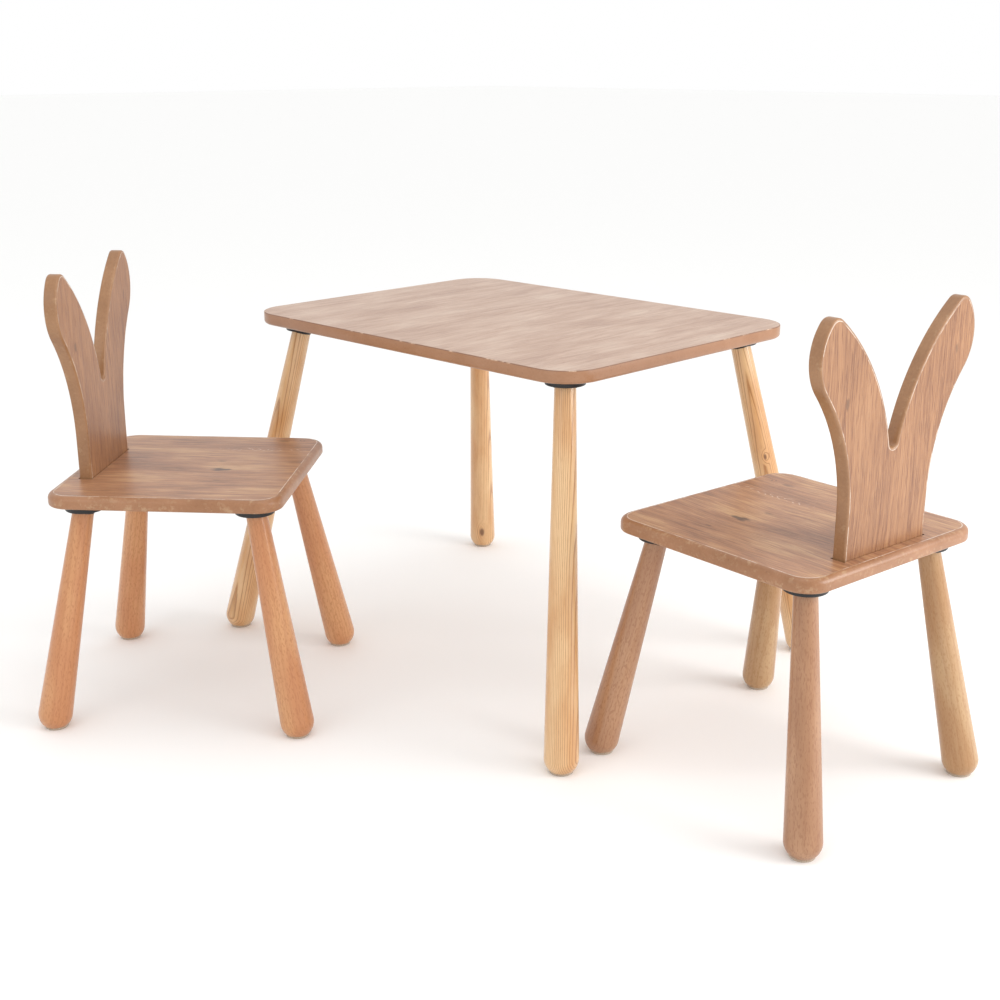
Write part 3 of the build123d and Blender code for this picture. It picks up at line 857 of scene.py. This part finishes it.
legs = {
    "topRadius": 13 * mm, "footRadius": 21 * mm, "footCentre": 18 * mm, "padTop": 3 * mm,
    "plate": 11 * mm, "bossLip": 0.5 * mm, "bossRadius": 13.6 * mm,
    "taperRings": 60, "footRings": 34, "sides": 56,
    "table": {"spot": (247 * mm, 172 * mm), "splay": (79 * mm, 85.5 * mm), "underside": 456 * mm},
    "chair": {"spot": (106 * mm, 107 * mm), "splay": (52 * mm, 40 * mm), "underside": 290 * mm},
}


def legPlace(kind, corner):
    # the centre line at the board: z up the leg, x towards the splay
    size = legs[kind]
    signX, signY = corners[corner]
    origin = Vector((signX * size["spot"][0], signY * size["spot"][1], size["underside"]))
    splay = Vector((signX * size["splay"][0], signY * size["splay"][1], 0))
    up = Vector((-splay.x, -splay.y, size["underside"])).normalized()
    across = (splay - up * splay.dot(up)).normalized()
    turn = Matrix((across, up.cross(across), up)).transposed()
    lean = atan2(splay.length, size["underside"])
    return origin, turn, lean


def startTree(name, inputs):
    tree = bpy.data.node_groups.new(name, "GeometryNodeTree")
    tree.interface.new_socket("Geometry", in_out="INPUT", socket_type="NodeSocketGeometry")
    tree.interface.new_socket("Geometry", in_out="OUTPUT", socket_type="NodeSocketGeometry")
    for label, kind in inputs.items():
        tree.interface.new_socket(label, in_out="INPUT", socket_type="NodeSocket" + kind)
    return tree, tree.nodes.new("NodeGroupInput").outputs, tree.nodes.new("NodeGroupOutput").inputs


def growMesh(name, tree, values, seedMesh=None):
    # runs the tree once and keeps the result as a plain mesh
    holder = bpy.data.objects.new(name, seedMesh or bpy.data.meshes.new(name + "Seed"))
    scene.collection.objects.link(holder)
    modifier = holder.modifiers.new("grow", "NODES")
    modifier.node_group = tree
    for item in tree.interface.items_tree:
        if item.in_out == "INPUT" and item.name in values:
            modifier[item.identifier] = values[item.name]
    shaped = holder.evaluated_get(bpy.context.evaluated_depsgraph_get())
    result = bpy.data.meshes.new_from_object(shaped)
    holder.modifiers.remove(modifier)
    old = holder.data
    holder.data = result
    result.name = name
    bpy.data.meshes.remove(old)
    # the seed had no finish, so its empty slot goes and the faces keep the last one
    finish = result.materials[len(result.materials) - 1]
    result.materials.clear()
    result.materials.append(finish)
    for face in result.polygons:
        face.material_index = 0
    result.set_sharp_from_angle(angle=radians(40))
    return holder


def ringsSkinned(tree, line, height, radius, sides):
    # a skin over rings strung up the middle, each with its own height and radius
    kept = addNode(tree, "GeometryNodeStoreNamedAttribute", {
        "Geometry": line, "Name": "ringRadius", "Value": radius,
    }, data_type="FLOAT", domain="POINT").outputs[0]
    up = addNode(tree, "ShaderNodeCombineXYZ", {2: height}).outputs[0]
    spaced = addNode(tree, "GeometryNodeSetPosition", {"Geometry": kept, "Position": up}).outputs[0]
    curve = addNode(tree, "GeometryNodeMeshToCurve", {0: spaced}).outputs[0]
    stored = addNode(tree, "GeometryNodeInputNamedAttribute", {
        "Name": "ringRadius",
    }, data_type="FLOAT").outputs[0]
    ring = addNode(tree, "GeometryNodeCurvePrimitiveCircle", {"Resolution": sides, "Radius": 1.0}).outputs[0]
    return addNode(tree, "GeometryNodeCurveToMesh", {
        "Curve": curve, "Profile Curve": ring, "Scale": stored, "Fill Caps": True,
    }).outputs[0]


def turnedLegTree():
    # a lathe: rings down the centre line, first the taper, then the ball end
    tree, given, out = startTree("turnedLeg", {
        "Top Radius": "Float", "Foot Radius": "Float", "Start": "Float", "Shoulder": "Float",
        "Shoulder Angle": "Float", "Shoulder Radius": "Float", "Ball": "Float",
        "Taper Rings": "Int", "Foot Rings": "Int",
        "Sides": "Int", "Grain Shift": "Vector", "Place": "Vector", "Turn": "Rotation",
        "Pad Top": "Float", "Wood": "Material",
    })

    taperEnd, footRadius = given["Taper Rings"], given["Foot Radius"]
    footEnd = weigh(tree, (taperEnd, 1.0), (given["Foot Rings"], 1.0))
    count = weigh(tree, (footEnd, 1.0), start=1.0)
    line = addNode(tree, "GeometryNodeMeshLine", {"Count": count, "Offset": (0, 0, -0.001)})
    index = addNode(tree, "GeometryNodeInputIndex").outputs[0]
    inFoot = addNode(tree, "FunctionNodeCompare", {2: index, 3: taperEnd},
                     data_type="INT", operation="GREATER_THAN").outputs[0]
    angle = share(tree, index, taperEnd, footEnd, ends=(given["Shoulder Angle"], pi / 2), ease="LINEAR")
    sine, cosine = (addNode(tree, "ShaderNodeMath", {0: angle}, operation=wave).outputs[0]
                    for wave in ("SINE", "COSINE"))
    depth, radius = (
        addNode(tree, "GeometryNodeSwitch", {
            0: inFoot, 1: share(tree, index, 0.0, taperEnd, ends=ends, ease="LINEAR"), 2: inBall,
        }, input_type="FLOAT").outputs[0]
        for ends, inBall in (
            ((given["Start"], given["Shoulder"]), weigh(tree, (sine, footRadius), start=given["Ball"])),
            ((given["Top Radius"], given["Shoulder Radius"]), weigh(tree, (cosine, footRadius))),
        )
    )
    body = ringsSkinned(tree, line.outputs[0], weigh(tree, (depth, -1.0)), radius, given["Sides"])
    clean = addNode(tree, "GeometryNodeMergeByDistance", {"Geometry": body, "Distance": 0.00002}).outputs[0]
    here = addNode(tree, "GeometryNodeInputPosition").outputs[0]
    grain = addNode(tree, "ShaderNodeVectorMath", {
        0: here, 1: given["Grain Shift"],
    }, operation="ADD").outputs[0]
    marked = addNode(tree, "GeometryNodeStoreNamedAttribute", {
        "Geometry": clean, "Name": "woodPlace", "Value": grain,
    }, data_type="FLOAT_VECTOR", domain="POINT").outputs[0]
    stood = addNode(tree, "GeometryNodeTransform", {
        "Geometry": marked, "Translation": given["Place"], "Rotation": given["Turn"],
    }).outputs[0]
    # the foot is sawn flat where its pad sits
    apart = addNode(tree, "ShaderNodeSeparateXYZ", {0: here}).outputs
    height = addNode(tree, "ShaderNodeMath", {
        0: apart[2], 1: given["Pad Top"],
    }, operation="MAXIMUM").outputs[0]
    flat = addNode(tree, "ShaderNodeCombineXYZ", {0: apart[0], 1: apart[1], 2: height}).outputs[0]
    sawn = addNode(tree, "GeometryNodeSetPosition", {"Geometry": stood, "Position": flat}).outputs[0]
    smooth = addNode(tree, "GeometryNodeSetShadeSmooth", {"Geometry": sawn}).outputs[0]
    real = addNode(tree, "GeometryNodeRealizeInstances", {0: smooth}).outputs[0]
    done = addNode(tree, "GeometryNodeSetMaterial", {"Geometry": real, "Material": given["Wood"]}).outputs[0]
    tree.links.new(done, out[0])
    return tree


def legSizes(kind, lean):
    start = (legs["plate"] + legs["bossLip"] + legs["bossRadius"] * sin(lean)) / cos(lean)
    ball = (legs[kind]["underside"] - legs["footCentre"]) / cos(lean)
    run = ball - start
    taper = asin(legs["footRadius"] / hypot(legs["topRadius"], run)) - atan2(legs["topRadius"], run)
    return start, ball, taper


def buildLegs():
    tree = turnedLegTree()
    bodies = [("table", "table", None)] + [(name, "chair", name) for name in chairs]
    # two small knots in the ash: near the foot of one blank, and a pin knot high on another
    ash = turnedWood("lacqueredAsh", woods["lacqueredAsh"],
                     knots=[(5.0, 0.0, 566.0, 5.0), (0.0, -15.0, -170.0, 2.5)])
    beeches = {name: turnedWood(name, woods[name]) for name in ("lacqueredBeech", "pinkBeech", "amberBeech")}
    made = 0
    for body, kind, chair in bodies:
        stand = standBody(body)
        for number, corner in enumerate(corners):
            origin, turn, lean = legPlace(kind, corner)
            start, ball, taper = legSizes(kind, lean)
            wood = beeches[chairs[chair]["woods"][number]] if chair else ash
            whole = stand.to_3x3() @ turn
            piece = growMesh(body + "_turnedLeg_" + corner, tree, {
                "Top Radius": legs["topRadius"], "Foot Radius": legs["footRadius"], "Start": start,
                "Shoulder": ball - legs["footRadius"] * sin(taper),
                "Shoulder Angle": -taper, "Shoulder Radius": legs["footRadius"] * cos(taper), "Ball": ball,
                "Taper Rings": legs["taperRings"], "Foot Rings": legs["footRings"], "Sides": legs["sides"],
                "Grain Shift": (0.012 * (made % 5), 0.009 * (made // 5), 0.5 * made),
                "Place": tuple(stand @ origin), "Turn": tuple(whole.to_euler()),
                "Pad Top": legs["padTop"], "Wood": wood,
            })
            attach(piece, body)
            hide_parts(f"{body}_leg_{corner}")
            made += 1
    print("legs turned:", made)


buildLegs()

screws = {
    "plate": {"shank": 1.75 * mm, "head": 3.5 * mm, "length": 22 * mm, "circle": 18.9 * mm},
    "back": {"shank": 2.5 * mm, "head": 4.8 * mm, "length": 42 * mm},
    "tip": 3 * mm, "point": 0.3 * mm, "sides": 20,
    # the cross recess in the head: how long, wide and deep its arms are, in head radii
    "recess": (1.1, 0.22, 0.9),
}


def crossScrewTree():
    # a countersunk cross-head wood screw, point up, stood on every seed point
    tree, given, out = startTree("crossScrews", {
        "Shank": "Float", "Head": "Float", "Length": "Float", "Tip": "Float", "Point": "Float",
        "Sides": "Int", "Metal": "Material",
    })

    def lifted(mesh, height):
        up = addNode(tree, "ShaderNodeCombineXYZ", {2: height}).outputs[0]
        return addNode(tree, "GeometryNodeTransform", {"Geometry": mesh, "Translation": up}).outputs[0]

    sink = weigh(tree, (given["Head"], 1.0), (given["Shank"], -1.0))
    body = weigh(tree, (given["Length"], 1.0), (given["Tip"], -1.0), (sink, -1.0))
    head, shank, tip = (
        addNode(tree, "GeometryNodeMeshCone", {
            "Vertices": given["Sides"], "Radius Top": top, "Radius Bottom": bottom, "Depth": depth,
        }).outputs[0]
        for top, bottom, depth in (
            (given["Shank"], given["Head"], sink), (given["Shank"], given["Shank"], body),
            (given["Point"], given["Shank"], given["Tip"]),
        )
    )
    shankAt = lifted(shank, sink)
    tipAt = lifted(tip, weigh(tree, (sink, 1.0), (body, 1.0)))
    joined = tree.nodes.new("GeometryNodeJoinGeometry")
    for part in (tipAt, shankAt, head):
        tree.links.new(part, joined.inputs[0])
    merged = addNode(tree, "GeometryNodeMergeByDistance", {
        "Geometry": joined.outputs[0], "Distance": 0.00001,
    }).outputs[0]
    long, thin, deep = (weigh(tree, (given["Head"], times)) for times in screws["recess"])
    arms = []
    for first, second in ((long, thin), (thin, long)):
        size = addNode(tree, "ShaderNodeCombineXYZ", {0: first, 1: second, 2: deep}).outputs[0]
        arms.append(addNode(tree, "GeometryNodeMeshCube", {"Size": size}).outputs[0])
    cut = tree.nodes.new("GeometryNodeMeshBoolean")
    cut.operation = "DIFFERENCE"
    tree.links.new(merged, cut.inputs["Mesh 1"])
    for arm in arms:
        tree.links.new(arm, cut.inputs["Mesh 2"])
    spots = addNode(tree, "GeometryNodeMeshToPoints", {"Mesh": given["Geometry"]}).outputs[0]
    turn = addNode(tree, "FunctionNodeRandomValue", {"Max": 1.5, "Seed": 3}, data_type="FLOAT")
    spin = addNode(tree, "ShaderNodeCombineXYZ", {2: turn.outputs["Value"]}).outputs[0]
    stood = addNode(tree, "GeometryNodeInstanceOnPoints", {
        "Points": spots, "Instance": cut.outputs[0], "Rotation": spin,
    }).outputs[0]
    real = addNode(tree, "GeometryNodeRealizeInstances", {0: stood}).outputs[0]
    done = addNode(tree, "GeometryNodeSetMaterial", {"Geometry": real, "Material": given["Metal"]}).outputs[0]
    tree.links.new(done, out[0])
    return tree


def pointsMesh(name, points):
    mesh = bpy.data.meshes.new(name)
    mesh.from_pydata([tuple(p) for p in points], [], [])
    return mesh


def buildScrews():
    tree = crossScrewTree()
    for body in ("table",) + tuple(chairs):
        kind = "table" if body == "table" else "chair"
        stand = standBody(body)
        spots = []
        for corner in corners:
            origin, turn, _ = legPlace(kind, corner)
            splay = atan2(turn.col[0].y, turn.col[0].x)
            for quarter in range(4):
                angle = splay + radians(45 + 90 * quarter)
                spots.append(stand @ (origin + Vector((cos(angle), sin(angle), 0)) * screws["plate"]["circle"]
                                      - Vector((0, 0, legs["plate"]))))
        sets = [("plateScrews", "plate_screws", screws["plate"], spots)]
        if body in chairs:
            back = boards["back"]
            centre = -boards["seat"]["depth"] / 2 + back["inset"] + boards["thickness"] / 2
            underside = boards["seat"]["height"] - boards["thickness"]
            sets.append(("backScrews", "backrest_screws", screws["back"],
                         [stand @ Vector((centre, step * back["screwSpacing"], underside))
                          for step in (-1, 0, 1)]))
        for label, node, size, places in sets:
            piece = growMesh(f"{body}_{label}", tree, {
                "Shank": size["shank"], "Head": size["head"], "Length": size["length"],
                "Tip": screws["tip"], "Point": screws["point"], "Sides": screws["sides"],
                "Metal": finishes["zincPlatedSteel"],
            }, pointsMesh(label + "Spots", places))
            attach(piece, body)
            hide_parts(f"{body}_{node}")
    print("screws driven: 48 in the plates, 6 in the backrests")


buildScrews()

pads = {
    "radius": 14.5 * mm, "thickness": 3 * mm, "edge": 0.6 * mm,
    "fuzz": 0.12 * mm, "sides": 48, "rings": 9,
}


def feltPadTree():
    # a punched felt disc with a soft rim, laid under every foot
    tree, given, out = startTree("feltPads", {
        "Radius": "Float", "Thickness": "Float", "Edge": "Float", "Fuzz": "Float",
        "Sides": "Int", "Felt": "Material",
    })

    line = addNode(tree, "GeometryNodeMeshLine", {"Count": pads["rings"], "Offset": (0, 0, 0.001)}).outputs[0]
    index = addNode(tree, "GeometryNodeInputIndex").outputs[0]
    height = share(tree, index, 0.0, pads["rings"] - 1.0, ends=(0.0, given["Thickness"]), ease="LINEAR")
    # the rim draws in at the bottom over the edge's height
    drawnIn = share(tree, height, 0.0, given["Edge"], ends=(given["Edge"], 0.0))
    radius = weigh(tree, (drawnIn, -1.0), start=given["Radius"])
    disc = ringsSkinned(tree, line, height, radius, given["Sides"])
    spots = addNode(tree, "GeometryNodeMeshToPoints", {"Mesh": given["Geometry"]}).outputs[0]
    laid = addNode(tree, "GeometryNodeInstanceOnPoints", {"Points": spots, "Instance": disc}).outputs[0]
    real = addNode(tree, "GeometryNodeRealizeInstances", {0: laid}).outputs[0]
    noise = addNode(tree, "ShaderNodeTexNoise", {"Scale": 900.0, "Detail": 1.0}).outputs["Color"]
    centred = addNode(tree, "ShaderNodeVectorMath", {
        0: noise, 1: (0.5, 0.5, 0.5),
    }, operation="SUBTRACT").outputs[0]
    ruffle = addNode(tree, "ShaderNodeVectorMath", {
        0: centred, 3: given["Fuzz"],
    }, operation="SCALE").outputs[0]
    level = addNode(tree, "ShaderNodeVectorMath", {
        0: ruffle, 1: (1.0, 1.0, 0.0),
    }, operation="MULTIPLY").outputs[0]
    rough = addNode(tree, "GeometryNodeSetPosition", {"Geometry": real, "Offset": level}).outputs[0]
    smooth = addNode(tree, "GeometryNodeSetShadeSmooth", {"Geometry": rough}).outputs[0]
    last = addNode(tree, "GeometryNodeRealizeInstances", {0: smooth}).outputs[0]
    done = addNode(tree, "GeometryNodeSetMaterial", {"Geometry": last, "Material": given["Felt"]}).outputs[0]
    tree.links.new(done, out[0])
    return tree


def buildPads():
    tree = feltPadTree()
    for body in ("table",) + tuple(chairs):
        nodes = [f"{body}_foot_pad_{corner}" for corner in corners]
        spots = []
        for node in nodes:
            middle = boxMiddle(node)
            spots.append((middle.x, middle.y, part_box(node)[0].z))
        piece = growMesh(body + "_feltPads", tree, {
            "Radius": pads["radius"] - pads["fuzz"], "Thickness": pads["thickness"], "Edge": pads["edge"],
            "Fuzz": pads["fuzz"], "Sides": pads["sides"], "Felt": finishes["pressedFelt"],
        }, pointsMesh("padSpots", spots))
        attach(piece, body)
        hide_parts(*nodes)
    print("felt pads laid: 12")


buildPads()


def finishHardware():
    # plates, inserts and bolts keep their machined shapes and take their finishes
    for name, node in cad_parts.items():
        finish = None
        if "_plate_" in name and "screws" not in name:
            finish = "mouldedBlackNylon"
        elif name.endswith("threaded_inserts") or name.endswith("hanger_bolts"):
            finish = "zincPlatedSteel"
        if finish:
            for slot in node.material_slots:
                slot.link = "OBJECT"
                slot.material = finishes[finish]
    print("hardware finished")


finishHardware()
